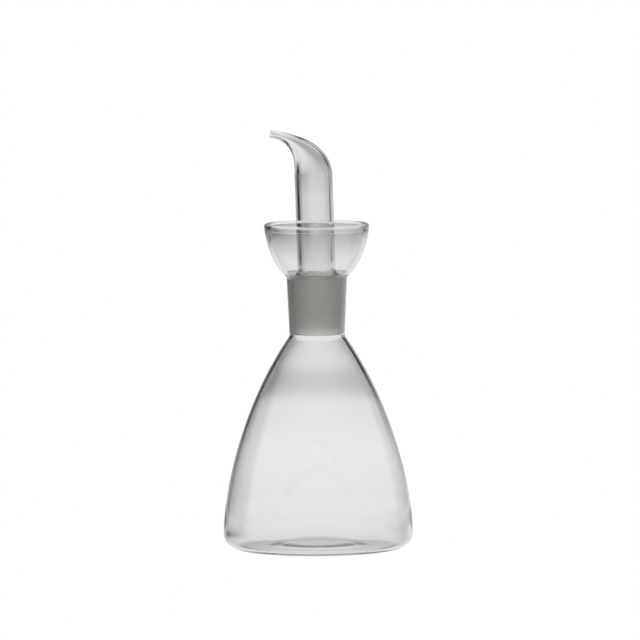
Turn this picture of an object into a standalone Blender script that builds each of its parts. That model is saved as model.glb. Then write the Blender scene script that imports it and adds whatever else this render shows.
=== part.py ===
"""Glass oil cruet: a conical bottle whose neck opens into a drip bowl, and a bent pourer ground into the neck.

Metres, +Z up. The origin is where the bottle's axis meets the surface it stands on. The pourer's tip points to -X,
and the cruet is the same on both sides of the XZ plane.
"""

import math

import bmesh
import bpy
from mathutils import Vector
from mathutils.geometry import interpolate_bezier

COLLECTION_NAME = "oil_cruet"
CUTTER_COLLECTION_NAME = "cutters"

# Bottle: the outside, from the rim down
RIM_RADIUS = 0.02735
RIM_Z = 0.1684
BOWL_RIM_SLOPE = 0.088  # metres outward for each metre up, where the bowl meets the rim
BOWL_NECK_SLOPE = 1.495
BOWL_PULL = 0.008
NECK_TOP_RADIUS = 0.01577
NECK_TOP_Z = 0.1425
NECK_BOTTOM_RADIUS = 0.01436
NECK_BOTTOM_Z = 0.1115
NECK_CORNER_REACH = 0.0012
SHOULDER_SLOPE = 0.695  # metres outward for each metre down, at the foot of the neck
SHOULDER_PULL = 0.0483
BODY_RADIUS = 0.04927
BODY_WIDEST_Z = 0.0095
BODY_PULL = 0.0152
BASE_CORNER_WIDTH = 0.0125
BASE_CORNER_POWER = 2.33
FOOT_RING_WIDTH = 0.0125
KICK_HEIGHT = 0.0023

# Bottle: the glass is this thick at each height, measured square to the outside
WALL_AT_HEIGHT = (
    (0.000, 0.0028),
    (0.006, 0.0028),
    (0.024, 0.0017),
    (0.064, 0.00088),
    (0.070, 0.00088),
    (0.108, 0.00175),
    (0.158, 0.00175),
    (RIM_Z, 0.0029),
)

# Pourer: a hollow ground plug, a foot that narrows to a tube, and a bend that tapers to the tip
SEAT_GAP = 0.0003
PLUG_BOTTOM_Z = 0.1124
PLUG_TOP_Z = 0.1417
PLUG_EDGE = 0.0004
PLUG_WALL = 0.0018
FOOT_TOP_Z = 0.1495
FOOT_POWER = 2.3
TUBE_RADIUS = 0.00985
TUBE_WALL = 0.002
LEAN = math.radians(1.48)
BEND_Z = 0.1951
BEND_START_PULL = 0.0065
BEND_END_PULL = 0.0165
TIP_X = -0.02373
TIP_Z = 0.21687
TIP_RISE = math.radians(8.5)
TIP_RADIUS = 0.0021
TIP_BORE_RADIUS = 0.00085
TIP_EDGE = 0.0004
TAPER_START_POWER = 2.09
TAPER_END_POWER = 3.29
CUTTER_OVERSHOOT = 0.001

# How finely the rounds are divided
TURN_STEPS = 48
BOWL_STEPS = 8
CORNER_STEPS = 3
BODY_STEPS = 12
BASE_CORNER_STEPS = 8
KICK_STEPS = 3
RIM_STEPS = 6
FOOT_STEPS = 5
BEND_STEPS = 15
TUBE_BEVEL_RESOLUTION = 14
ROUND_PULL = 0.55
SHARP_ANGLE = math.radians(40.0)

GLASS_COLOUR = (0.93, 0.94, 0.93, 1.0)
GLASS_ROUGHNESS = 0.02
GROUND_GLASS_ROUGHNESS = 0.25
GLASS_IOR = 1.47


def clear_scene():
    for obj in list(bpy.data.objects):
        bpy.data.objects.remove(obj, do_unlink=True)


def new_collection(name):
    collection = bpy.data.collections.new(name)
    bpy.context.scene.collection.children.link(collection)
    return collection


def glass_material(name, roughness):
    material = bpy.data.materials.new(name)
    material.use_nodes = True
    shader = material.node_tree.nodes["Principled BSDF"]
    shader.inputs["Base Color"].default_value = GLASS_COLOUR
    shader.inputs["Metallic"].default_value = 0.0
    shader.inputs["Roughness"].default_value = roughness
    shader.inputs["IOR"].default_value = GLASS_IOR
    shader.inputs["Transmission Weight"].default_value = 1.0
    return material


def direction(outward, up):
    """A unit vector in the profile's plane, from how far it goes outward and up."""
    return Vector((outward, 0.0, up)).normalized()


def smooth_step(value):
    return value * value * (3.0 - 2.0 * value)


def round_corner(before, corner, after):
    """Points that cut across a corner of an outline in a short curve."""
    start = corner + (before - corner).normalized() * NECK_CORNER_REACH
    end = corner + (after - corner).normalized() * NECK_CORNER_REACH
    start_handle = start.lerp(corner, ROUND_PULL)
    end_handle = end.lerp(corner, ROUND_PULL)
    return interpolate_bezier(start, start_handle, end_handle, end, CORNER_STEPS)


def bowl_outline():
    rim = Vector((RIM_RADIUS, 0.0, RIM_Z))
    neck = Vector((NECK_TOP_RADIUS, 0.0, NECK_TOP_Z))
    rim_handle = rim - direction(BOWL_RIM_SLOPE, 1.0) * BOWL_PULL
    neck_handle = neck + direction(BOWL_NECK_SLOPE, 1.0) * BOWL_PULL
    return interpolate_bezier(rim, rim_handle, neck_handle, neck, BOWL_STEPS + 1)


def body_outline():
    neck = Vector((NECK_BOTTOM_RADIUS, 0.0, NECK_BOTTOM_Z))
    widest = Vector((BODY_RADIUS, 0.0, BODY_WIDEST_Z))
    neck_handle = neck + direction(SHOULDER_SLOPE, -1.0) * SHOULDER_PULL
    widest_handle = widest + Vector((0.0, 0.0, BODY_PULL))
    return interpolate_bezier(neck, neck_handle, widest_handle, widest, BODY_STEPS + 1)


def base_corner_outline():
    """The rounded lower edge: a quarter of a superellipse from the widest point in to the foot ring."""
    points = []
    for step in range(1, BASE_CORNER_STEPS + 1):
        angle = math.pi / 2.0 * step / BASE_CORNER_STEPS
        across = math.cos(angle) ** (2.0 / BASE_CORNER_POWER) if step < BASE_CORNER_STEPS else 0.0
        down = math.sin(angle) ** (2.0 / BASE_CORNER_POWER)
        radius = BODY_RADIUS - BASE_CORNER_WIDTH * (1.0 - across)
        points.append(Vector((radius, 0.0, BODY_WIDEST_Z * (1.0 - down))))
    return points


def kick_outline():
    """The foot ring's inner edge, then the hollow that rises from it to the axis."""
    edge = BODY_RADIUS - BASE_CORNER_WIDTH - FOOT_RING_WIDTH
    points = []
    for step in range(KICK_STEPS + 1):
        rise = smooth_step(step / KICK_STEPS)
        points.append(Vector((edge * (1.0 - step / KICK_STEPS), 0.0, KICK_HEIGHT * rise)))
    return points


def outer_outline():
    """The bottle's outside, from the rim's outer edge down to the middle of the base."""
    bowl = bowl_outline()
    body = body_outline()
    bowl_corner = round_corner(bowl[-2], bowl[-1], body[0])
    body_corner = round_corner(bowl[-1], body[0], body[1])
    return bowl[:-1] + bowl_corner + body_corner + body[1:] + base_corner_outline() + kick_outline()


def wall_at(height):
    """The glass's thickness at a height, eased between the heights that state it."""
    below = WALL_AT_HEIGHT[0]
    for above in WALL_AT_HEIGHT[1:]:
        if height <= above[0]:
            share = smooth_step((height - below[0]) / (above[0] - below[0]))
            return below[1] + (above[1] - below[1]) * share
        below = above
    return below[1]


def inward_normals(outline):
    """For each point of an outside that runs downward, the unit vector into the glass."""
    normals = []
    for index in range(len(outline)):
        before = outline[max(index - 1, 0)]
        after = outline[min(index + 1, len(outline) - 1)]
        along = (after - before).normalized()
        normals.append(Vector((along.z, 0.0, -along.x)))
    normals[-1] = Vector((0.0, 0.0, 1.0))
    return normals


def rim_arc(inner_edge, outer_edge):
    """The rounded rim, from just past the bowl's inner edge over the top to just before its outer edge."""
    middle = (inner_edge + outer_edge) / 2.0
    side = inner_edge - middle
    up = Vector((-side.z, 0.0, side.x))
    if up.z < 0.0:
        up.negate()
    points = []
    for step in range(1, RIM_STEPS):
        angle = math.pi * step / RIM_STEPS
        points.append(middle + side * math.cos(angle) + up * math.sin(angle))
    return points


def bottle_outline():
    """The whole section: up the inside from the floor, over the rim and down the outside."""
    outer = outer_outline()
    normals = inward_normals(outer)
    inner = [point + normal * wall_at(point.z) for point, normal in zip(outer, normals)]
    return inner[::-1] + rim_arc(inner[0], outer[0]) + outer


def turned_object(name, outline, collection):
    """An object whose outline, in the XZ plane, is turned about Z."""
    mesh = bpy.data.meshes.new(name)
    edges = [(index, index + 1) for index in range(len(outline) - 1)]
    mesh.from_pydata(outline, edges, [])
    obj = bpy.data.objects.new(name, mesh)
    collection.objects.link(obj)
    screw = obj.modifiers.new("turn", "SCREW")
    screw.axis = "Z"
    screw.angle = math.tau
    screw.steps = TURN_STEPS
    screw.render_steps = TURN_STEPS
    screw.use_merge_vertices = True
    screw.merge_threshold = 0.000001
    screw.use_smooth_shade = True
    return obj


def socket_radius(height):
    """Radius of the neck's ground inside at a height."""
    share = (height - NECK_BOTTOM_Z) / (NECK_TOP_Z - NECK_BOTTOM_Z)
    outside = NECK_BOTTOM_RADIUS + (NECK_TOP_RADIUS - NECK_BOTTOM_RADIUS) * share
    return outside - wall_at(height)


def lean_position(height):
    """The middle of the pourer at a height: on the axis in the neck, then leaning slightly to the pouring side."""
    return Vector((-max(height - PLUG_TOP_Z, 0.0) * math.tan(LEAN), 0.0, height))


def bend_stations():
    """The bend's middle points, each with its share of the way to the tip."""
    start = lean_position(BEND_Z)
    tip = Vector((TIP_X, 0.0, TIP_Z))
    start_handle = start + Vector((-math.sin(LEAN), 0.0, math.cos(LEAN))) * BEND_START_PULL
    tip_handle = tip - Vector((-math.cos(TIP_RISE), 0.0, math.sin(TIP_RISE))) * BEND_END_PULL
    points = interpolate_bezier(start, start_handle, tip_handle, tip, BEND_STEPS + 1)
    travelled = [0.0]
    for before, after in zip(points, points[1:]):
        travelled.append(travelled[-1] + (after - before).length)
    return [(point, distance / travelled[-1]) for point, distance in zip(points, travelled)]


def outer_taper(share):
    """The bend's outer radius at a share of the way to the tip."""
    left = (1.0 - share**TAPER_START_POWER) ** TAPER_END_POWER
    return TIP_RADIUS + (TUBE_RADIUS - TIP_RADIUS) * left


def bore_taper(share):
    tip_wall = TIP_RADIUS - TIP_BORE_RADIUS
    return outer_taper(share) - TUBE_WALL - (tip_wall - TUBE_WALL) * share


def foot_stations(wide_radius, narrow_radius):
    """The foot as (middle, radius) pairs: a trumpet that narrows from the plug to the tube."""
    stations = []
    for step in range(FOOT_STEPS + 1):
        share = (step / FOOT_STEPS) ** 1.5
        height = PLUG_TOP_Z + PLUG_EDGE + (FOOT_TOP_Z - PLUG_TOP_Z - PLUG_EDGE) * share
        radius = narrow_radius + (wide_radius - narrow_radius) * (1.0 - share) ** FOOT_POWER
        stations.append((lean_position(height), radius))
    return stations


def pourer_skin():
    """The pourer's outside from the plug's end to the tip, as (middle, radius) pairs."""
    bottom_radius = socket_radius(PLUG_BOTTOM_Z) - SEAT_GAP
    top_radius = socket_radius(PLUG_TOP_Z) - SEAT_GAP
    plug = [
        (lean_position(PLUG_BOTTOM_Z), bottom_radius - PLUG_EDGE),
        (lean_position(PLUG_BOTTOM_Z + PLUG_EDGE), bottom_radius),
        (lean_position(PLUG_TOP_Z), top_radius),
    ]
    foot = foot_stations(top_radius - PLUG_EDGE, TUBE_RADIUS)
    bend = [(point, outer_taper(share)) for point, share in bend_stations()]
    tip, tip_radius = bend[-1]
    back = (bend[-2][0] - tip).normalized()
    bend[-1] = (tip + back * TIP_EDGE, tip_radius)
    return plug + foot + bend + [(tip, tip_radius - TIP_EDGE)]


def pourer_bore():
    """The hole through the pourer, run past both ends."""
    bottom_radius = socket_radius(PLUG_BOTTOM_Z) - SEAT_GAP - PLUG_WALL
    top_radius = socket_radius(PLUG_TOP_Z) - SEAT_GAP - PLUG_WALL
    plug = [
        (lean_position(PLUG_BOTTOM_Z - CUTTER_OVERSHOOT), bottom_radius),
        (lean_position(PLUG_TOP_Z), top_radius),
    ]
    foot = foot_stations(top_radius - PLUG_EDGE, TUBE_RADIUS - TUBE_WALL)
    bend = [(point, bore_taper(share)) for point, share in bend_stations()]
    tip, tip_radius = bend[-1]
    onward = (tip - bend[-2][0]).normalized()
    return plug + foot + bend + [(tip + onward * CUTTER_OVERSHOOT, tip_radius)]


def tube_object(name, stations, collection):
    """A closed round solid along the stations, each a middle point and a radius."""
    curve = bpy.data.curves.new(name, "CURVE")
    curve.dimensions = "3D"
    curve.twist_mode = "MINIMUM"
    curve.bevel_depth = TUBE_RADIUS
    curve.bevel_resolution = TUBE_BEVEL_RESOLUTION
    curve.use_fill_caps = True
    spline = curve.splines.new("POLY")
    spline.points.add(len(stations) - 1)
    for point, (middle, radius) in zip(spline.points, stations):
        point.co = (*middle, 1.0)
        point.radius = radius / TUBE_RADIUS
    curve_object = bpy.data.objects.new(name + "_curve", curve)
    collection.objects.link(curve_object)
    evaluated = curve_object.evaluated_get(bpy.context.evaluated_depsgraph_get())
    mesh = bpy.data.meshes.new_from_object(evaluated)
    mesh.name = name
    bpy.data.objects.remove(curve_object, do_unlink=True)
    weld(mesh)
    obj = bpy.data.objects.new(name, mesh)
    collection.objects.link(obj)
    return obj


def weld(mesh):
    """Join a swept tube's caps to its side and turn all faces outward."""
    shape = bmesh.new()
    shape.from_mesh(mesh)
    bmesh.ops.remove_doubles(shape, verts=shape.verts, dist=0.000001)
    bmesh.ops.recalc_face_normals(shape, faces=shape.faces)
    shape.to_mesh(mesh)
    shape.free()
    mesh.shade_smooth()
    mesh.set_sharp_from_angle(angle=SHARP_ANGLE)


def make_bottle(collection):
    bottle = turned_object("bottle", bottle_outline(), collection)
    bottle.data.materials.append(glass_material("bottle_glass", GLASS_ROUGHNESS))
    return bottle


def make_pourer(collection, cutters):
    pourer = tube_object("pourer", pourer_skin(), collection)
    bore = tube_object("pourer_bore", pourer_bore(), cutters)
    bore.hide_render = True
    bore.display_type = "WIRE"
    cut = pourer.modifiers.new("bore", "BOOLEAN")
    cut.operation = "DIFFERENCE"
    cut.object = bore
    pourer.data.materials.append(glass_material("pourer_glass", GROUND_GLASS_ROUGHNESS))
    return pourer


def main():
    clear_scene()
    collection = new_collection(COLLECTION_NAME)
    cutters = new_collection(CUTTER_COLLECTION_NAME)
    make_bottle(collection)
    make_pourer(collection, cutters)


main()
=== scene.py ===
"""Looks of an empty glass oil cruet: a bottle with a drip bowl round its mouth, and a pourer ground into its neck.

The file is laid out as an add-on and run as a script. Each piece is a run of round stations worked out here, which
Geometry Nodes turn into a skin of glass. It stands for the solid of the same name in the frame.
"""

import math

import bpy
from bpy.props import FloatProperty, FloatVectorProperty, IntProperty, PointerProperty
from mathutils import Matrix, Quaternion, Vector
from mathutils.geometry import interpolate_bezier


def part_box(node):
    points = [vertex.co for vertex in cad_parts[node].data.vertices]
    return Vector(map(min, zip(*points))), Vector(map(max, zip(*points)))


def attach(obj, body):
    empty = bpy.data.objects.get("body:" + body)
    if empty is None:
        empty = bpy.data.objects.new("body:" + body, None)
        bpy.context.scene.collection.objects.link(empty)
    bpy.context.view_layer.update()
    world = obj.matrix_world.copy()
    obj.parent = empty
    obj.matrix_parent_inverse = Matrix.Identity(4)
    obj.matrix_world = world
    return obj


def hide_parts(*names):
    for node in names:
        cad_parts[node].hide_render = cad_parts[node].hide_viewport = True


bl_info = {
    "name": "Glass Oil Cruet",
    "version": (1, 0, 0),
    "blender": (4, 5, 0),
    "location": "3D View > Sidebar > Cruet",
    "description": "Makes a clear glass oil cruet with a ground neck, a drip bowl and a bent pourer",
    "category": "Add Mesh",
}

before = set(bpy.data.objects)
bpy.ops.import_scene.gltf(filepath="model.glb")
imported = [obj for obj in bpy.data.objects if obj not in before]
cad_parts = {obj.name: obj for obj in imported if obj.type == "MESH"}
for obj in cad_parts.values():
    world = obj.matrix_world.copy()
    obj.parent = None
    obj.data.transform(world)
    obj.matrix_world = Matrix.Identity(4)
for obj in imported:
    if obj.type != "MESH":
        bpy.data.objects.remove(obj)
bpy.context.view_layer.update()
BOTTLE_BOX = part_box("bottle")
POURER_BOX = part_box("pourer")
BODY = "root"
UP = Vector((0.0, 0.0, 1.0))
WHITE = (1.0, 1.0, 1.0, 1.0)

# Outlines: how far a short curve is pulled to its corner, and how much closer the points get where a curve is tight
ROUND_PULL = 0.55
CROWDING = 1.5
WELD_DISTANCE = 1e-6

# Frost: how its tint and roughness vary from place to place
GRAIN_STRETCH = (0.12, 0.12, 1.0)  # the marks run round the axis
CLOUD_SCALE = 180.0
CLOUD_EDGES = (0.35, 0.65)
CLOUD_ROUGHNESS = (0.92, 0.16)
CLOUD_TINT = 1.06

# Stage: the light goes from one part of the studio to the next between these two angles, in degrees
FRONT_TURN = (100.0, 150.0)
LEFT_TABLE_TURN = (0.0, 43.0)
RIGHT_TABLE_TURN = (38.0, 40.0)
RIGHT_TABLE_LIFT = (-5.0, -3.0)
FRONT_TABLE_LIFT = (-10.0, -4.0)
BACKDROP_MIDDLE_LIFT = (-1.0, 6.0)
BACKDROP_TOP_LIFT = (9.5, 12.5)
BACKDROP_SIDE_TURN = (0.0, 6.0)
SIDE_WALL_TURN = (56.0, 69.0)
FAR_LEFT_TURN = (72.0, 88.0)
CEILING_LIFT = (21.4, 33.0)
FLOOR_SIDES = 96
SENSOR_WIDTH = 36.0  # millimetres
LIGHT_BOUNCES = 32
GLOSSY_BOUNCES = 12


# Sizes and colours that a user would change


def length(name, description, default):
    """A size in metres."""
    return FloatProperty(name=name, description=description, default=default, unit="LENGTH", precision=5)


def share(name, description, default, top=1.0):
    """A number with no unit, from nothing to top."""
    return FloatProperty(name=name, description=description, default=default, min=0.0, max=top)


def angle(name, description, degrees):
    return FloatProperty(name=name, description=description, default=math.radians(degrees), subtype="ANGLE")


def count(name, description, default):
    return IntProperty(name=name, description=description, default=default, min=1)


def colour(name, description, default):
    return FloatVectorProperty(
        name=name, description=description, default=default, size=3, min=0.0, max=1.0, subtype="COLOR"
    )


class BottleShape(bpy.types.PropertyGroup):
    """The bottle's section, from the rim down."""

    rim_radius: length("Rim radius", "Outer radius of the drip bowl's rim", 0.02735)
    rim_z: length("Rim height", "Height at which the rim starts to round over", 0.1684)
    rim_slope: share("Rim slope", "Metres outward for each metre up, at the rim", 0.088)
    bowl_slope: share("Bowl slope", "Metres outward for each metre up, where the bowl leaves the neck", 1.495, top=4.0)
    bowl_pull: length("Bowl pull", "How far the bowl's curve follows each end's slope", 0.008)
    neck_top_radius: length("Neck top radius", "Outer radius of the neck under the bowl", 0.01577)
    neck_top_z: length("Neck top height", "Height at which the neck meets the bowl", 0.1425)
    neck_bottom_radius: length("Neck bottom radius", "Outer radius of the neck above the shoulder", 0.01436)
    neck_bottom_z: length("Neck bottom height", "Height at which the neck meets the shoulder", 0.1115)
    corner_reach: length("Corner reach", "How far the neck's two corners are rounded", 0.0012)
    shoulder_slope: share("Shoulder slope", "Metres outward for each metre down, at the neck", 0.695)
    shoulder_pull: length("Shoulder pull", "How far the side follows the shoulder's slope", 0.0483)
    body_radius: length("Body radius", "Outer radius at the widest place", BOTTLE_BOX[1].x)
    body_widest_z: length("Widest height", "Height of the widest place", 0.0095)
    body_pull: length("Body pull", "How far the side stays upright above the widest place", 0.0152)
    base_corner_width: length("Base corner width", "How far the lower edge's round reaches in", 0.0125)
    base_corner_power: share("Base corner power", "2 is an ellipse, more is squarer", 2.33, top=8.0)
    foot_ring_width: length("Foot ring width", "Width of the flat ring that the bottle stands on", 0.0125)
    kick_height: length("Kick height", "How far the base rises in the middle", 0.0012)
    kick_power: share("Kick power", "2 is a dome, more is flatter with a steeper edge", 8.0, top=12.0)
    floor_wall: length("Floor wall", "Thickness of the glass over the foot ring", 0.0022)
    floor_rise: length("Floor rise", "How far the inside of the floor rises in the middle", 0.0008)
    floor_rise_width: length("Floor rise width", "Width over which the inside of the floor rises", 0.012)
    inner_corner_width: length("Inner corner width", "How far the round between floor and side reaches in", 0.0080)
    inner_corner_power: share("Inner corner power", "2 is an ellipse, more is squarer", 2.4, top=8.0)
    heel_wall: length("Heel wall", "Thickness of the glass at the widest place", 0.0023)
    lower_wall: length("Lower wall", "Thickness of the glass low in the side", 0.0017)
    lower_wall_z: length("Lower wall height", "Height at which the side has that thickness", 0.024)
    middle_wall: length("Middle wall", "Thickness of the glass where it was blown thinnest", 0.0012)
    middle_wall_bottom_z: length("Middle wall bottom", "The wall is thinnest above this height", 0.064)
    middle_wall_top_z: length("Middle wall top", "The wall is thinnest below this height", 0.078)
    neck_wall: length("Neck wall", "Thickness of the glass in the neck and bowl", 0.00175)
    neck_wall_bottom_z: length("Neck wall bottom", "The neck's wall is even above this height", 0.097)
    neck_wall_top_z: length("Neck wall top", "The bowl's wall starts to thicken above this height", 0.1445)
    bowl_wall: length("Bowl wall", "Thickness of the glass in the bowl, just under its rim", 0.0026)
    bowl_wall_power: share("Bowl wall power", "More keeps the bowl's wall thin for longer on the way up", 2.5, top=8.0)
    rim_wall: length("Rim wall", "Thickness of the rounded rim", 0.0031)
    rim_swell: length("Rim swell", "How far down the wall the rim's swelling reaches", 0.0028)
    ground_bottom_z: length("Ground bottom", "Lowest height of the ground band in the neck", 0.1132)
    ground_top_z: length("Ground top", "Highest height of the ground band in the neck", 0.1447)
    turn_steps: count("Turn steps", "Sides of the turned skin", 144)


class PourerShape(bpy.types.PropertyGroup):
    """The pourer, from its plug to its tip."""

    seat_gap: length("Seat gap", "Space between the plug and the neck", 0.0003)
    plug_bottom_z: length("Plug bottom", "Height of the plug's open end", POURER_BOX[0].z)
    plug_top_z: length("Plug top", "Height at which the plug ends and the foot starts", 0.1417)
    plug_edge: length("Plug edge", "Round of the plug's two edges", 0.0004)
    plug_ground_bottom_z: length("Plug ground bottom", "Lowest height of the ground band on the plug", 0.1158)
    plug_ground_over: length("Plug ground over", "How far the ground band reaches over the plug's upper edge", 0.0009)
    plug_wall: length("Plug wall", "Thickness of the glass in the plug", 0.0018)
    foot_top_z: length("Foot top", "Height at which the foot has narrowed to the tube", 0.1480)
    foot_power: share("Foot power", "More makes the foot's flare sharper", 3.4, top=8.0)
    tube_radius: length("Tube radius", "Outer radius of the tube", 0.00985)
    tube_wall: length("Tube wall", "Thickness of the glass in the tube", 0.0020)
    lean: angle("Lean", "The tube leans this much to the pouring side", 1.48)
    bend_z: length("Bend height", "Height at which the tube starts to bend", 0.1951)
    bend_start_pull: length("Bend start pull", "How far the bend follows the tube", 0.0065)
    bend_end_pull: length("Bend end pull", "How far the bend lines up with the tip", 0.0165)
    tip_x: length("Tip place", "Where the middle of the tip is, along X", -0.02373)
    tip_z: length("Tip height", "Height of the middle of the tip", 0.21687)
    tip_rise: angle("Tip rise", "The tip points up this much", 8.5)
    tip_radius: length("Tip radius", "Outer radius of the tip", 0.0021)
    tip_bore_radius: length("Tip bore radius", "Radius of the hole in the tip", 0.00085)
    bend_wall: length("Bend wall", "Thickness of the glass in the bend, where heat gathered it", 0.00245)
    bend_wall_low_z: length("Bend wall bottom", "The tube's wall starts to thicken above this height", 0.184)
    bend_wall_high_z: length("Bend wall top", "The tube's wall is thickest at this height", 0.210)
    tip_wall_power: share("Tip wall power", "More keeps the wall thick for longer on the way to the tip", 3.0, top=8.0)
    tip_edge: length("Tip edge", "Round of the tip's edge", 0.0004)
    taper_start_power: share("Taper start power", "More keeps the tube full for longer", 2.09, top=8.0)
    taper_end_power: share("Taper end power", "More draws the tip out finer", 3.29, top=8.0)
    turn_steps: count("Turn steps", "Sides of the swept skin", 128)


class GlassFinish(bpy.types.PropertyGroup):
    """How the glass looks, polished and ground."""

    clear_colour: colour("Clear colour", "Tint of the polished glass", (0.985, 0.988, 0.985))
    ground_colour: colour("Ground colour", "Tint of the ground bands", (0.74, 0.75, 0.72))
    clear_roughness: share("Clear roughness", "Roughness of the polished glass", 0.0)
    ground_roughness: share("Ground roughness", "Roughness of the ground bands", 0.47)
    refraction: share("Refraction", "Index of refraction of the glass", 1.474, top=3.0)
    absorption_colour: colour("Absorption colour", "Colour that thick glass lets through", (0.50, 0.53, 0.50))
    absorption: share("Absorption", "How fast the thick of the glass takes light, for each metre", 90.0, top=2000.0)
    ripple: length("Ripple", "Depth of the slow waves that blowing leaves in the glass", 0.00002)
    ripple_size: length("Ripple size", "Spacing of those waves", 0.022)
    grain: length("Grain", "Depth of the grinding marks", 0.00001)
    grain_size: length("Grain size", "Spacing of the grinding marks", 0.0004)


class StageLook(bpy.types.PropertyGroup):
    """The floor, the light and the camera."""

    distance: length("Camera distance", "From the camera to the middle of the cruet", 7.0)
    elevation: angle("Camera elevation", "How far the camera looks down", 4.6)
    roll: angle("Camera roll", "How far the camera is turned about its own axis", 0.34)
    view_width: length("View width", "Width of the picture at the cruet", 0.3328)
    target_x: length("Target x", "Where the camera looks, along X", 0.00154)
    target_z: length("Target height", "Where the camera looks, along Z", 0.1197)
    floor_radius: length("Floor radius", "Radius of the white floor", 5.0)
    white: share("White", "Light of the floor and the backdrop as the camera sees them", 1.0, top=2.0)
    table: share("Table", "Light that the glass gets from the white table", 0.935, top=4.0)
    table_edge_low: angle("Table edge low", "The table starts to fade out at this lift", -6.5)
    table_edge_high: angle("Table edge high", "The table has faded out at this lift", 1.2)
    left_table: share("Left table", "Light from the table's far left part", 0.0, top=4.0)
    left_table_low: angle("Left table low", "The table's left part starts to fade at this lift", -11.3)
    left_table_high: angle("Left table high", "The table's left part has faded at this lift", -5.0)
    right_table: share("Right table", "Light from the table's far right part", 0.0, top=4.0)
    front_table: share("Front table", "Light from the table in front", 1.0, top=4.0)
    backdrop: share("Backdrop", "Light from low on the wall behind the cruet", 0.47, top=4.0)
    backdrop_middle: share("Backdrop middle", "Light from higher on that wall", 0.64, top=4.0)
    backdrop_top: share("Backdrop top", "Light from high on that wall", 1.0, top=4.0)
    left_backdrop: share("Left backdrop", "Light from that wall's left part", 0.21, top=4.0)
    right_backdrop: share("Right backdrop", "Light from that wall's right part", 0.45, top=4.0)
    room: share("Room", "Light from the walls beside and in front of the cruet", 1.04, top=4.0)
    left_room: share("Left room", "Light from the near part of the wall on the left", 0.0, top=4.0)
    ceiling: share("Ceiling", "Light from above", 0.80, top=4.0)
    front_ceiling: share("Front ceiling", "Light from above and in front", 0.9, top=4.0)
    left_card_turn: angle("Left card turn", "Where the left black card stands, round the cruet", -48.5)
    left_card_lift: angle("Left card lift", "How high the left black card stands", 6.4)
    left_card_width: angle("Left card width", "Half the left black card's width", 28.0)
    left_card_height: angle("Left card height", "Half the left black card's height", 5.4)
    left_card_softness: angle("Left card softness", "How far the left black card's edge is blurred", 1.5)
    right_card_turn: angle("Right card turn", "Where the right black card stands, round the cruet", 30.7)
    right_card_lift: angle("Right card lift", "How high the right black card stands", 12.3)
    right_card_width: angle("Right card width", "Half the right black card's width", 10.8)
    right_card_height: angle("Right card height", "Half the right black card's height", 6.1)
    right_card_softness: angle("Right card softness", "How far the right black card's edge is blurred", 3.6)


# Node helpers


class Socket:
    """A socket or number in a node tree, on which Python's operators add Math nodes."""

    def __init__(self, graph, value):
        self.graph = graph
        self.value = value

    def math(self, operation, *others):
        return self.graph.math(operation, self, *others)

    def __add__(self, other):
        return self.math("ADD", other)

    def __sub__(self, other):
        return self.math("SUBTRACT", other)

    def __rsub__(self, other):
        return self.graph.math("SUBTRACT", other, self)

    def __mul__(self, other):
        return self.math("MULTIPLY", other)

    def __truediv__(self, other):
        return self.math("DIVIDE", other)

    def __mod__(self, other):
        return self.math("FLOORED_MODULO", other)

    __radd__ = __add__
    __rmul__ = __mul__

    def floor(self):
        return self.math("FLOOR")

    def between(self, low, high):
        """0 below low, 1 above high and eased from one to the other."""
        node = self.graph.node(
            "ShaderNodeMapRange",
            {"interpolation_type": "SMOOTHSTEP"},
            {"Value": self, "From Min": low, "From Max": high},
        )
        return self.graph.output(node, "Result")


class Graph:
    """Adds nodes to a tree."""

    def __init__(self, tree):
        self.tree = tree

    def node(self, kind, settings=None, sockets=None):
        """A node of one kind, with its settings made first and then its sockets, by name or place."""
        node = self.tree.nodes.new(kind)
        for name, value in (settings or {}).items():
            setattr(node, name, value)
        for key, value in (sockets or {}).items():
            self.feed(node.inputs[key], value)
        return node

    def feed(self, socket, value):
        value = value.value if isinstance(value, Socket) else value
        if isinstance(value, bpy.types.NodeSocket):
            self.tree.links.new(value, socket)
        else:
            socket.default_value = value

    def output(self, node, key=0):
        return Socket(self, node.outputs[key])

    def math(self, operation, *values):
        node = self.node("ShaderNodeMath", {"operation": operation}, dict(enumerate(values)))
        return self.output(node)

    def vector(self, operation, *values, scale=None):
        sockets = dict(enumerate(values))
        if scale is not None:
            sockets["Scale"] = scale
        node = self.node("ShaderNodeVectorMath", {"operation": operation}, sockets)
        return self.output(node, "Vector")

    def blend(self, factor, first, second):
        """A colour that goes from first to second as factor rises."""
        node = self.node("ShaderNodeMix", {"data_type": "RGBA"}, {"Factor": factor})
        inputs = [socket for socket in node.inputs if socket.type == "RGBA"]
        self.feed(inputs[0], first)
        self.feed(inputs[1], second)
        return Socket(self, next(socket for socket in node.outputs if socket.type == "RGBA"))

    def noise(self, coordinates, scale, detail=2.0):
        node = self.node(
            "ShaderNodeTexNoise", sockets={"Vector": coordinates, "Scale": scale, "Detail": detail}
        )
        return self.output(node, "Fac")


def new_material(name):
    """An empty material's graph, ready for its nodes."""
    material = bpy.data.materials.new(name)
    material.use_nodes = True
    material.node_tree.nodes.clear()
    return material, Graph(material.node_tree)


# Outlines and stations


def direction(outward, up):
    """A unit vector in a section's plane, from how far it goes outward and up."""
    return Vector((outward, 0.0, up)).normalized()


def smooth_step(value):
    return value * value * (3.0 - 2.0 * value)


def round_corner(before, corner, after, reach, steps=12):
    """Points that cut across a corner of an outline in a short curve."""
    start = corner + (before - corner).normalized() * reach
    end = corner + (after - corner).normalized() * reach
    return interpolate_bezier(start, start.lerp(corner, ROUND_PULL), end.lerp(corner, ROUND_PULL), end, steps)


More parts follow.
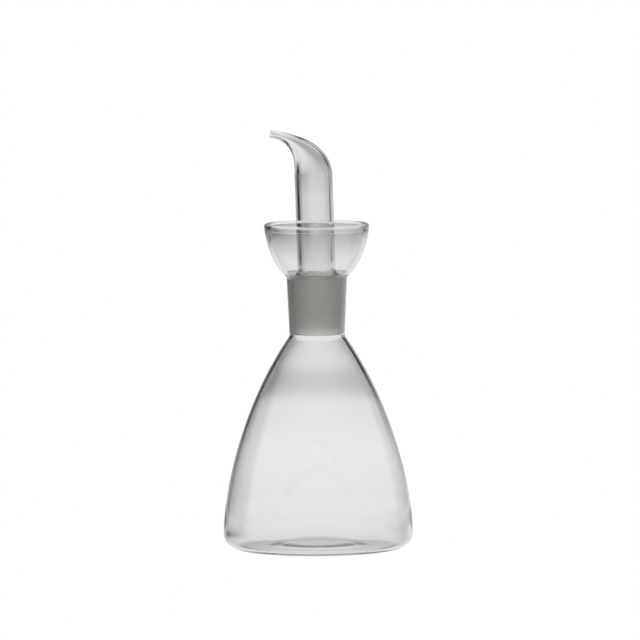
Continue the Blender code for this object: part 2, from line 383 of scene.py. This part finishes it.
def bowl_outline(shape, steps=96):
    rim = Vector((shape.rim_radius, 0.0, shape.rim_z))
    neck = Vector((shape.neck_top_radius, 0.0, shape.neck_top_z))
    rim_handle = rim - direction(shape.rim_slope, 1.0) * shape.bowl_pull
    neck_handle = neck + direction(shape.bowl_slope, 1.0) * shape.bowl_pull
    return interpolate_bezier(rim, rim_handle, neck_handle, neck, steps)


def body_outline(shape, steps=84):
    neck = Vector((shape.neck_bottom_radius, 0.0, shape.neck_bottom_z))
    widest = Vector((shape.body_radius, 0.0, shape.body_widest_z))
    neck_handle = neck + direction(shape.shoulder_slope, -1.0) * shape.shoulder_pull
    widest_handle = widest + UP * shape.body_pull
    return interpolate_bezier(neck, neck_handle, widest_handle, widest, steps)


def corner_outline(middle_x, width, bottom_z, top_z, power, steps=30):
    """A rounded lower corner from its upright side at top_z down to its flat underside."""
    height = top_z - bottom_z
    points = []
    for step in range(steps + 1):
        turn = math.pi / 2.0 * step / steps
        out = width * math.cos(turn) ** (2.0 / power)
        down = height * math.sin(turn) ** (2.0 / power)
        points.append(Vector((middle_x + out, 0.0, top_z - down)))
    return points


def base_corner_outline(shape):
    middle_x = shape.body_radius - shape.base_corner_width
    return corner_outline(middle_x, shape.base_corner_width, 0.0, shape.body_widest_z, shape.base_corner_power)


def kick_outline(shape, steps=36):
    """The foot ring's inner edge, then the hollow that rises from it to the axis."""
    edge = shape.body_radius - shape.base_corner_width - shape.foot_ring_width
    points = []
    for step in range(steps + 1):
        out = 1.0 - (step / steps) ** CROWDING
        points.append(Vector((edge * out, 0.0, shape.kick_height * (1.0 - out**shape.kick_power))))
    return points


def straight(start, end, steps):
    """Points between two others, without them."""
    return [start.lerp(end, step / steps) for step in range(1, steps)]


def outer_outline(shape):
    """The bottle's outside, from the rim's outer edge down to the middle of the base."""
    bowl = bowl_outline(shape)
    body = body_outline(shape)
    bowl_corner = round_corner(bowl[-2], bowl[-1], body[0], shape.corner_reach)
    body_corner = round_corner(bowl[-1], body[0], body[1], shape.corner_reach)
    bowl = [point for point in bowl if point.z > bowl_corner[0].z]
    body = [point for point in body if point.z < body_corner[-1].z]
    neck = straight(bowl_corner[-1], body_corner[0], 50)
    corner = base_corner_outline(shape)[1:]
    kick = kick_outline(shape)
    foot_ring = straight(corner[-1], kick[0], 6)
    return bowl + bowl_corner + neck + body_corner + body + corner + foot_ring + kick


def wall_at(shape, height):
    """The glass's thickness at a height, eased between the heights that state it."""
    stated = (
        (shape.body_widest_z, shape.heel_wall),
        (shape.lower_wall_z, shape.lower_wall),
        (shape.middle_wall_bottom_z, shape.middle_wall),
        (shape.middle_wall_top_z, shape.middle_wall),
        (shape.neck_wall_bottom_z, shape.neck_wall),
    )
    below = stated[0]
    if height <= below[0]:
        return below[1]
    for above in stated[1:]:
        if height <= above[0]:
            rise = smooth_step((height - below[0]) / (above[0] - below[0]))
            return below[1] + (above[1] - below[1]) * rise
        below = above
    rise = max(height - shape.neck_wall_top_z, 0.0) / (shape.rim_z - shape.neck_wall_top_z)
    swell = smooth_step(max(height - shape.rim_z + shape.rim_swell, 0.0) / shape.rim_swell)
    wall = shape.neck_wall + (shape.bowl_wall - shape.neck_wall) * rise**shape.bowl_wall_power
    return wall + (shape.rim_wall - shape.bowl_wall) * swell


def floor_outline(shape, out, steps=40):
    """The inside of the floor, from near the side to the axis, with a slow rise over the hollow in the base."""
    edge = shape.body_radius - shape.base_corner_width - shape.foot_ring_width
    points = []
    for step in range(1, steps + 1):
        radius = out * (1.0 - step / steps)
        rise = smooth_step(min(max((edge - radius) / shape.floor_rise_width, 0.0), 1.0))
        points.append(Vector((radius, 0.0, shape.floor_wall + shape.floor_rise * rise)))
    return points


def inner_outline(shape, outer):
    """The bottle's inside from the rim down to the floor's middle."""
    walls = zip(outer, inward_normals(outer))
    side = [point + normal * wall_at(shape, point.z) for point, normal in walls if point.z > shape.body_widest_z]
    middle_x = shape.body_radius - shape.heel_wall - shape.inner_corner_width
    corner = corner_outline(
        middle_x, shape.inner_corner_width, shape.floor_wall, shape.body_widest_z, shape.inner_corner_power
    )
    return side + corner + floor_outline(shape, middle_x)


def inward_normals(outline):
    """For each point of an outside that runs downward, the unit vector into the glass."""
    normals = []
    for index in range(len(outline)):
        before = outline[max(index - 1, 0)]
        after = outline[min(index + 1, len(outline) - 1)]
        along = (after - before).normalized()
        normals.append(Vector((along.z, 0.0, -along.x)))
    normals[-1] = UP.copy()
    return normals


def rim_arc(inner_edge, outer_edge, steps=28):
    """The rounded rim, from just past the bowl's inner edge over the top to just before its outer edge."""
    middle = (inner_edge + outer_edge) / 2.0
    side = inner_edge - middle
    over = Vector((-side.z, 0.0, side.x))
    if over.z < 0.0:
        over.negate()
    turns = [math.pi * step / steps for step in range(1, steps)]
    return [middle + side * math.cos(turn) + over * math.sin(turn) for turn in turns]


class Station:
    """One ring of the skin: its middle, its radius, which way the piece runs there, and whether it is ground."""

    def __init__(self, middle, radius, along=UP, ground=False):
        self.middle = middle
        self.radius = radius
        self.along = along
        self.ground = ground


def bottle_stations(shape):
    """The bottle's section as rings round the axis: up the inside, over the rim and down the outside."""
    outer = outer_outline(shape)
    inner = inner_outline(shape, outer)[::-1]
    inner[0].x = 0.0
    stations = []
    for point in inner:
        ground = shape.ground_bottom_z <= point.z <= shape.ground_top_z
        stations.append(Station(Vector((0.0, 0.0, point.z)), point.x, ground=ground))
    for point in rim_arc(inner[-1], outer[0]) + outer:
        stations.append(Station(Vector((0.0, 0.0, point.z)), point.x))
    return stations


def socket_radius(shape, height):
    """Radius of the neck's ground inside at a height."""
    rise = (height - shape.neck_bottom_z) / (shape.neck_top_z - shape.neck_bottom_z)
    outside = shape.neck_bottom_radius + (shape.neck_top_radius - shape.neck_bottom_radius) * rise
    return outside - wall_at(shape, height)


def lean_position(shape, height):
    """The middle of the pourer at a height: on the axis in the neck, then leaning to the pouring side."""
    return Vector((-max(height - shape.plug_top_z, 0.0) * math.tan(shape.lean), 0.0, height))


def bend_path(shape, steps=110):
    """The bend's middle points, each with its share of the way to the tip."""
    start = lean_position(shape, shape.bend_z)
    tip = Vector((shape.tip_x, 0.0, shape.tip_z))
    start_handle = start + direction(-math.sin(shape.lean), math.cos(shape.lean)) * shape.bend_start_pull
    tip_handle = tip - direction(-math.cos(shape.tip_rise), math.sin(shape.tip_rise)) * shape.bend_end_pull
    points = interpolate_bezier(start, start_handle, tip_handle, tip, steps)
    travelled = [0.0]
    for before, after in zip(points, points[1:]):
        travelled.append(travelled[-1] + (after - before).length)
    return [(point, distance / travelled[-1]) for point, distance in zip(points, travelled)]


def outer_taper(shape, way):
    """The bend's outer radius at a share of the way to the tip."""
    left = (1.0 - way**shape.taper_start_power) ** shape.taper_end_power
    return shape.tip_radius + (shape.tube_radius - shape.tip_radius) * left


def tube_wall_at(shape, height):
    """The thickness of the tube's glass at a height, before it thins to the tip."""
    rise = (height - shape.bend_wall_low_z) / (shape.bend_wall_high_z - shape.bend_wall_low_z)
    return shape.tube_wall + (shape.bend_wall - shape.tube_wall) * smooth_step(min(max(rise, 0.0), 1.0))


def bore_taper(shape, point, way):
    """The bend's bore radius at a point, a share of the way to the tip."""
    wall = tube_wall_at(shape, point.z)
    tip_wall = shape.tip_radius - shape.tip_bore_radius
    return outer_taper(shape, way) - wall - (tip_wall - wall) * way**shape.tip_wall_power


def foot_rings(shape, wide_radius, narrow_radius, steps=40):
    """The foot as (middle, radius) pairs: a trumpet that narrows from the plug to the tube."""
    bottom = shape.plug_top_z + shape.plug_edge
    rings = []
    for step in range(steps + 1):
        rise = (step / steps) ** CROWDING
        radius = narrow_radius + (wide_radius - narrow_radius) * (1.0 - rise) ** shape.foot_power
        rings.append((lean_position(shape, bottom + (shape.foot_top_z - bottom) * rise), radius))
    return rings


def tube_middles(shape, steps=90):
    """The middle points of the straight tube between the foot and the bend, without its ends."""
    low = lean_position(shape, shape.foot_top_z)
    high = lean_position(shape, shape.bend_z)
    return straight(low, high, steps)


def edge_rings(start, end, bulge_middle, steps=8):
    """Rings round a small edge, from one (middle, radius) pair to another, eased round a corner pair."""
    corners = [Vector((middle.x, radius, middle.z)) for middle, radius in (start, bulge_middle, end)]
    first = corners[0].lerp(corners[1], ROUND_PULL)
    second = corners[2].lerp(corners[1], ROUND_PULL)
    points = interpolate_bezier(corners[0], first, second, corners[2], steps)
    return [(Vector((point.x, 0.0, point.z)), point.y) for point in points]


def plug_rings(shape, bottom_radius, top_radius, steps=40):
    low = lean_position(shape, shape.plug_bottom_z + shape.plug_edge)
    high = lean_position(shape, shape.plug_top_z)
    rings = []
    for step in range(steps + 1):
        rise = step / steps
        rings.append((low.lerp(high, rise), bottom_radius + (top_radius - bottom_radius) * rise))
    return rings


def pourer_skin(shape, bottle):
    """The pourer's outside from the plug's end to the tip, as (middle, radius) pairs."""
    low_z = shape.plug_bottom_z
    low_radius = socket_radius(bottle, low_z) - shape.seat_gap
    top_radius = socket_radius(bottle, shape.plug_top_z) - shape.seat_gap
    edge = shape.plug_edge
    plug = plug_rings(shape, low_radius, top_radius)
    foot = foot_rings(shape, top_radius - edge, shape.tube_radius)
    corner_low = (lean_position(shape, low_z), low_radius)
    low_edge = edge_rings((lean_position(shape, low_z), low_radius - edge), plug[0], corner_low)
    corner_top = (lean_position(shape, shape.plug_top_z + edge), top_radius)
    top_edge = edge_rings(plug[-1], foot[0], corner_top)
    bend = [(point, outer_taper(shape, way)) for point, way in bend_path(shape)]
    tip, tip_radius = bend[-1]
    back = (bend[-2][0] - tip).normalized()
    shoulder = (tip + back * shape.tip_edge, tip_radius)
    bend = [ring for ring in bend if (ring[0] - tip).length > shape.tip_edge]
    tip_edge = edge_rings(shoulder, (tip, tip_radius - shape.tip_edge), (tip, tip_radius))
    rings = low_edge[:-1] + plug + top_edge[1:-1] + foot
    tube = [(point, shape.tube_radius) for point in tube_middles(shape)]
    return rings + tube + bend + tip_edge


def pourer_bore(shape, bottle):
    """The hole through the pourer from the plug's end to the tip, as (middle, radius) pairs."""
    low_radius = socket_radius(bottle, shape.plug_bottom_z) - shape.seat_gap - shape.plug_wall
    top_radius = socket_radius(bottle, shape.plug_top_z) - shape.seat_gap - shape.plug_wall
    edge = shape.plug_edge
    bore_radius = shape.tube_radius - shape.tube_wall
    plug = plug_rings(shape, low_radius, top_radius)
    foot = foot_rings(shape, top_radius - edge, bore_radius)
    corner_low = (lean_position(shape, shape.plug_bottom_z), low_radius)
    low_edge = edge_rings((lean_position(shape, shape.plug_bottom_z), low_radius + edge), plug[0], corner_low)
    corner_top = (lean_position(shape, shape.plug_top_z + edge), top_radius)
    top_edge = edge_rings(plug[-1], foot[0], corner_top)
    bend = [(point, bore_taper(shape, point, way)) for point, way in bend_path(shape)]
    tube = [(point, shape.tube_radius - tube_wall_at(shape, point.z)) for point in tube_middles(shape)]
    return low_edge[:-1] + plug + top_edge[1:-1] + foot + tube + bend


def pourer_stations(shape, bottle):
    """The pourer as rings along its middle line: up the outside to the tip and back down the bore."""
    outer = pourer_skin(shape, bottle)
    bore = pourer_bore(shape, bottle)
    stations = []
    for rings, outside in ((outer, True), (bore, False)):
        run = []
        for index, (middle, radius) in enumerate(rings):
            before = rings[max(index - 1, 0)][0]
            after = rings[min(index + 1, len(rings) - 1)][0]
            along = (after - before).normalized() if (after - before).length > 1e-7 else UP
            in_band = shape.plug_ground_bottom_z <= middle.z <= shape.plug_top_z + shape.plug_ground_over
            run.append(Station(middle, radius, along, outside and in_band))
        stations += run if outside else run[::-1]
    return stations + [stations[0]]


# Skins of glass


def stations_object(name, stations):
    """A line of points that carries each ring's radius, way and finish."""
    mesh = bpy.data.meshes.new(name)
    edges = [(index, index + 1) for index in range(len(stations) - 1)]
    mesh.from_pydata([station.middle for station in stations], edges, [])
    radius = mesh.attributes.new("radius", "FLOAT", "POINT")
    ground = mesh.attributes.new("ground", "FLOAT", "POINT")
    along = mesh.attributes.new("along", "FLOAT_VECTOR", "POINT")
    for index, station in enumerate(stations):
        radius.data[index].value = station.radius
        ground.data[index].value = 1.0 if station.ground else 0.0
        along.data[index].vector = station.along
    obj = bpy.data.objects.new(name, mesh)
    bpy.context.scene.collection.objects.link(obj)
    return obj


def skin_tree():
    """Geometry Nodes that lay a ring at each station and join the rings into one closed skin."""
    tree = bpy.data.node_groups.new("skin_from_rings", "GeometryNodeTree")
    tree.interface.new_socket("Geometry", in_out="INPUT", socket_type="NodeSocketGeometry")
    tree.interface.new_socket("Turn Steps", in_out="INPUT", socket_type="NodeSocketInt")
    tree.interface.new_socket("Weld Distance", in_out="INPUT", socket_type="NodeSocketFloat")
    tree.interface.new_socket("Material", in_out="INPUT", socket_type="NodeSocketMaterial")
    tree.interface.new_socket("Geometry", in_out="OUTPUT", socket_type="NodeSocketGeometry")
    graph = Graph(tree)
    given = graph.node("NodeGroupInput")
    rings = graph.output(given, "Geometry")
    steps = graph.output(given, "Turn Steps")
    size = graph.node("GeometryNodeAttributeDomainSize", sockets={"Geometry": rings})
    grid = graph.node(
        "GeometryNodeMeshGrid",
        sockets={"Vertices X": graph.output(size, "Point Count"), "Vertices Y": steps + 1.0},
    )
    index = graph.output(graph.node("GeometryNodeInputIndex"))
    row = (index / (steps + 1.0)).floor()
    turn = (index % (steps + 1.0)) / steps * math.tau

    def ring_value(kind, value):
        node = graph.node(
            "GeometryNodeSampleIndex", {"data_type": kind}, {"Geometry": rings, "Value": value, "Index": row}
        )
        return graph.output(node)

    def ring_attribute(kind, name):
        node = graph.node("GeometryNodeInputNamedAttribute", {"data_type": kind}, {"Name": name})
        return ring_value(kind, graph.output(node, "Attribute"))

    middle = ring_value("FLOAT_VECTOR", graph.output(graph.node("GeometryNodeInputPosition")))
    radius = ring_attribute("FLOAT", "radius")
    along = ring_attribute("FLOAT_VECTOR", "along")
    side = graph.vector("CROSS_PRODUCT", (0.0, 1.0, 0.0), along)
    across = graph.vector("SCALE", side, scale=radius * turn.math("COSINE"))
    deep = graph.vector("SCALE", (0.0, 1.0, 0.0), scale=radius * turn.math("SINE"))
    place = graph.vector("ADD", middle, graph.vector("ADD", across, deep))
    skin = graph.node(
        "GeometryNodeSetPosition", sockets={"Geometry": graph.output(grid, "Mesh"), "Position": place}
    )
    ground = graph.node(
        "GeometryNodeStoreNamedAttribute",
        {"data_type": "FLOAT", "domain": "POINT"},
        {"Geometry": graph.output(skin), "Name": "ground", "Value": ring_attribute("FLOAT", "ground")},
    )
    welded = graph.node(
        "GeometryNodeMergeByDistance",
        sockets={"Geometry": graph.output(ground), "Distance": graph.output(given, "Weld Distance")},
    )
    smooth = graph.node("GeometryNodeSetShadeSmooth", sockets={"Geometry": graph.output(welded)})
    real = graph.node("GeometryNodeRealizeInstances", sockets={"Geometry": graph.output(smooth)})
    finished = graph.node(
        "GeometryNodeSetMaterial",
        sockets={"Geometry": graph.output(real), "Material": graph.output(given, "Material")},
    )
    graph.node("NodeGroupOutput", sockets={"Geometry": graph.output(finished)})
    return tree


def skinned_piece(name, stations, turn_steps, material):
    """A closed skin of glass through the stations, as a plain mesh."""
    obj = stations_object(name, stations)
    modifier = obj.modifiers.new("skin", "NODES")
    modifier.node_group = bpy.data.node_groups.get("skin_from_rings") or skin_tree()
    sockets = modifier.node_group.interface.items_tree
    inputs = {socket.name: socket.identifier for socket in sockets if socket.in_out == "INPUT"}
    modifier[inputs["Turn Steps"]] = turn_steps
    modifier[inputs["Weld Distance"]] = WELD_DISTANCE
    modifier[inputs["Material"]] = material
    evaluated = obj.evaluated_get(bpy.context.evaluated_depsgraph_get())
    mesh = bpy.data.meshes.new_from_object(evaluated)
    obj.modifiers.clear()
    obj.data = mesh
    mesh.name = name
    face_outward(mesh)
    return obj


def face_outward(mesh):
    """Turns a closed skin's faces outward if its volume comes out negative."""
    volume = 0.0
    mesh.calc_loop_triangles()
    for triangle in mesh.loop_triangles:
        a, b, c = (mesh.vertices[index].co for index in triangle.vertices)
        volume += a.dot(b.cross(c))
    if volume < 0.0:
        mesh.flip_normals()


# Glass


def glass_material(name, finish):
    """Clear blown glass with slow ripples, and a fine grey frost where the skin is marked as ground."""
    material, graph = new_material(name)
    place = graph.output(graph.node("ShaderNodeTexCoord"), "Object")
    ground = graph.output(graph.node("ShaderNodeAttribute", {"attribute_name": "ground"}), "Fac")
    ripple = graph.noise(place, 1.0 / finish.ripple_size, 1.0)
    rings = graph.output(graph.node("ShaderNodeMapping", sockets={"Vector": place, "Scale": GRAIN_STRETCH}))
    marks = graph.noise(rings, 1.0 / finish.grain_size, 3.0)
    cloud = graph.noise(place, CLOUD_SCALE, 3.0)
    least, spread = CLOUD_ROUGHNESS
    rough = finish.ground_roughness * (least + spread * cloud)
    roughness = finish.clear_roughness + (rough - finish.clear_roughness) * ground
    pale = [min(1.0, channel * CLOUD_TINT) for channel in finish.ground_colour]
    frost = graph.blend(cloud.between(*CLOUD_EDGES), (*finish.ground_colour, 1.0), (*pale, 1.0))
    tint = graph.blend(ground, (*finish.clear_colour, 1.0), frost)
    height = ripple * finish.ripple + marks * ground * finish.grain
    bump = graph.node("ShaderNodeBump", sockets={"Height": height, "Distance": 1.0, "Strength": 1.0})
    shader = graph.node(
        "ShaderNodeBsdfPrincipled",
        sockets={
            "Base Color": tint,
            "Roughness": roughness,
            "IOR": finish.refraction,
            "Transmission Weight": 1.0,
            "Normal": graph.output(bump),
        },
    )
    thick = graph.node(
        "ShaderNodeVolumeAbsorption",
        sockets={"Color": (*finish.absorption_colour, 1.0), "Density": finish.absorption},
    )
    graph.node(
        "ShaderNodeOutputMaterial", sockets={"Surface": graph.output(shader), "Volume": graph.output(thick)}
    )
    return material


# Stage


def floor_material(look):
    """A white light table."""
    material, graph = new_material("white_floor")
    glow = graph.node("ShaderNodeEmission", sockets={"Color": WHITE, "Strength": look.white})
    graph.node("ShaderNodeOutputMaterial", sockets={"Surface": graph.output(glow)})
    return material


def make_floor(look):
    """The white floor under the cruet. What the glass gets from it is in the studio's light."""
    mesh = bpy.data.meshes.new("floor")
    turns = [math.tau * side / FLOOR_SIDES for side in range(FLOOR_SIDES)]
    edge = [Vector((math.cos(turn), math.sin(turn), 0.0)) * look.floor_radius for turn in turns]
    mesh.from_pydata(edge, [], [range(FLOOR_SIDES)])
    mesh.materials.append(floor_material(look))
    floor = bpy.data.objects.new("floor", mesh)
    floor.visible_diffuse = False
    floor.visible_glossy = False
    floor.visible_transmission = False
    floor.visible_shadow = False
    bpy.context.scene.collection.objects.link(floor)


def black_card(turn, lift, place, size, softness):
    """1 on a card that stands at a turn round the cruet and a lift above the table, easing to 0 past its edge."""
    across = (turn - place[0]).math("ABSOLUTE").between(size[0] - softness, size[0] + softness)
    up = (lift - place[1]).math("ABSOLUTE").between(size[1] - softness, size[1] + softness)
    return (1.0 - across) * (1.0 - up)


def ease(light, way, other):
    """Goes from one light to the other as way goes from 0 to 1."""
    return light + way * (other - light)


def span(value, low, high):
    """0 below the low angle and 1 above the high one, both in degrees."""
    return value.between(math.radians(low), math.radians(high))


def table_light(look, turn, left_turn, lift, front):
    """The white table, which is dark on both sides of the backdrop and changes in front."""
    left = span(left_turn, *LEFT_TABLE_TURN) * (1.0 - span(left_turn, *FAR_LEFT_TURN))
    left = left * lift.between(look.left_table_low, look.left_table_high)
    right = span(turn, *RIGHT_TABLE_TURN) * (1.0 - front) * span(lift, *RIGHT_TABLE_LIFT)
    light = ease(look.table, left, look.left_table)
    light = ease(light, right, look.right_table)
    return ease(light, front * (1.0 - span(lift, *FRONT_TABLE_LIFT)), look.front_table)


def wall_light(look, turn, left_turn, lift):
    """The walls all round: a grey backdrop, a dim stretch at its left and bright walls beyond."""
    light = ease(look.backdrop, span(lift, *BACKDROP_MIDDLE_LIFT), look.backdrop_middle)
    light = ease(light, span(lift, *BACKDROP_TOP_LIFT), look.backdrop_top)
    light = ease(light, span(left_turn, *BACKDROP_SIDE_TURN), look.left_backdrop)
    light = ease(light, span(turn, *BACKDROP_SIDE_TURN), look.right_backdrop)
    light = ease(light, span(turn, *SIDE_WALL_TURN), look.room)
    left_wall = ease(look.left_room, span(left_turn, *FAR_LEFT_TURN), look.room)
    return ease(light, span(left_turn, *SIDE_WALL_TURN), left_wall)


def studio_light(graph, look):
    """How bright the studio is in each direction from the cruet."""
    toward = graph.node("ShaderNodeTexCoord")
    parts = graph.node("ShaderNodeSeparateXYZ", sockets={"Vector": graph.output(toward, "Generated")})
    east, north, high = (graph.output(parts, axis) for axis in "XYZ")
    turn = east.math("ARCTAN2", north)
    left_turn = 0.0 - turn
    lift = high.math("ARCSINE")
    front = span(turn.math("ABSOLUTE"), *FRONT_TURN)
    table = table_light(look, turn, left_turn, lift, front)
    wall = wall_light(look, turn, left_turn, lift)
    light = ease(table, lift.between(look.table_edge_low, look.table_edge_high), wall)
    light = ease(light, span(lift, *CEILING_LIFT), ease(look.ceiling, front, look.front_ceiling))
    left_card = black_card(
        turn,
        lift,
        (look.left_card_turn, look.left_card_lift),
        (look.left_card_width, look.left_card_height),
        look.left_card_softness,
    )
    right_card = black_card(
        turn,
        lift,
        (look.right_card_turn, look.right_card_lift),
        (look.right_card_width, look.right_card_height),
        look.right_card_softness,
    )
    return light * (1.0 - left_card) * (1.0 - right_card)


def make_world(look):
    """Studio light from all round: a white table, a grey wall behind, bright walls, and a black card on each side."""
    world = bpy.data.worlds.new("studio")
    bpy.context.scene.world = world
    world.use_nodes = True
    world.node_tree.nodes.clear()
    graph = Graph(world.node_tree)
    seen = graph.output(graph.node("ShaderNodeLightPath"), "Is Camera Ray")
    light = studio_light(graph, look)
    light = light + seen * (look.white - light)
    shine = graph.node("ShaderNodeBackground", sockets={"Color": WHITE, "Strength": light})
    graph.node("ShaderNodeOutputWorld", sockets={"Surface": graph.output(shine)})


def make_camera(look):
    data = bpy.data.cameras.new("camera")
    camera = bpy.data.objects.new("camera", data)
    target = Vector((look.target_x, 0.0, look.target_z))
    away = Vector((0.0, -math.cos(look.elevation), math.sin(look.elevation)))
    camera.location = target + away * look.distance
    turned = Quaternion((0.0, 0.0, 1.0), -look.roll)
    camera.rotation_euler = ((-away).to_track_quat("-Z", "Y") @ turned).to_euler()
    data.sensor_width = SENSOR_WIDTH
    data.lens = data.sensor_width * look.distance / look.view_width
    bpy.context.scene.collection.objects.link(camera)
    bpy.context.scene.camera = camera


# Operators


def place_piece(piece, node):
    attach(piece, BODY)
    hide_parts(node)


class CRUET_OT_make_bottle(bpy.types.Operator):
    """Turn the bottle, its neck and its drip bowl in one skin of glass"""

    bl_idname = "cruet.make_bottle"
    bl_label = "Make Bottle"

    def execute(self, context):
        shape = context.scene.cruet_bottle
        material = glass_material("bottle_glass", context.scene.cruet_glass)
        piece = skinned_piece("bottle_of_glass", bottle_stations(shape), shape.turn_steps, material)
        place_piece(piece, "bottle")
        return {"FINISHED"}


class CRUET_OT_make_pourer(bpy.types.Operator):
    """Sweep the pourer's plug, foot, tube and tip in one skin of glass"""

    bl_idname = "cruet.make_pourer"
    bl_label = "Make Pourer"

    def execute(self, context):
        shape = context.scene.cruet_pourer
        material = glass_material("pourer_glass", context.scene.cruet_glass)
        stations = pourer_stations(shape, context.scene.cruet_bottle)
        piece = skinned_piece("pourer_of_glass", stations, shape.turn_steps, material)
        place_piece(piece, "pourer")
        return {"FINISHED"}


class CRUET_OT_make_stage(bpy.types.Operator):
    """Set up the pale floor, the studio light and the camera"""

    bl_idname = "cruet.make_stage"
    bl_label = "Make Stage"

    def execute(self, context):
        look = context.scene.cruet_stage
        make_floor(look)
        make_world(look)
        make_camera(look)
        context.scene.view_settings.view_transform = "Standard"
        context.scene.cycles.max_bounces = LIGHT_BOUNCES
        context.scene.cycles.transmission_bounces = LIGHT_BOUNCES
        context.scene.cycles.glossy_bounces = GLOSSY_BOUNCES
        return {"FINISHED"}


class CRUET_PT_panel(bpy.types.Panel):
    """Makes the cruet's pieces and its stage"""

    bl_idname = "CRUET_PT_panel"
    bl_label = "Glass Oil Cruet"
    bl_space_type = "VIEW_3D"
    bl_region_type = "UI"
    bl_category = "Cruet"

    def draw(self, context):
        for operator in OPERATORS:
            self.layout.operator(operator.bl_idname)


GROUPS = {
    "cruet_bottle": BottleShape,
    "cruet_pourer": PourerShape,
    "cruet_glass": GlassFinish,
    "cruet_stage": StageLook,
}
OPERATORS = (CRUET_OT_make_stage, CRUET_OT_make_bottle, CRUET_OT_make_pourer)
CLASSES = (*GROUPS.values(), *OPERATORS, CRUET_PT_panel)


def register():
    for item in CLASSES:
        bpy.utils.register_class(item)
    for name, group in GROUPS.items():
        setattr(bpy.types.Scene, name, PointerProperty(type=group))


def unregister():
    for name in GROUPS:
        delattr(bpy.types.Scene, name)
    for item in reversed(CLASSES):
        bpy.utils.unregister_class(item)


def main():
    register()
    bpy.ops.cruet.make_stage()
    bpy.ops.cruet.make_bottle()
    bpy.ops.cruet.make_pourer()


if __name__ == "__main__":
    main()
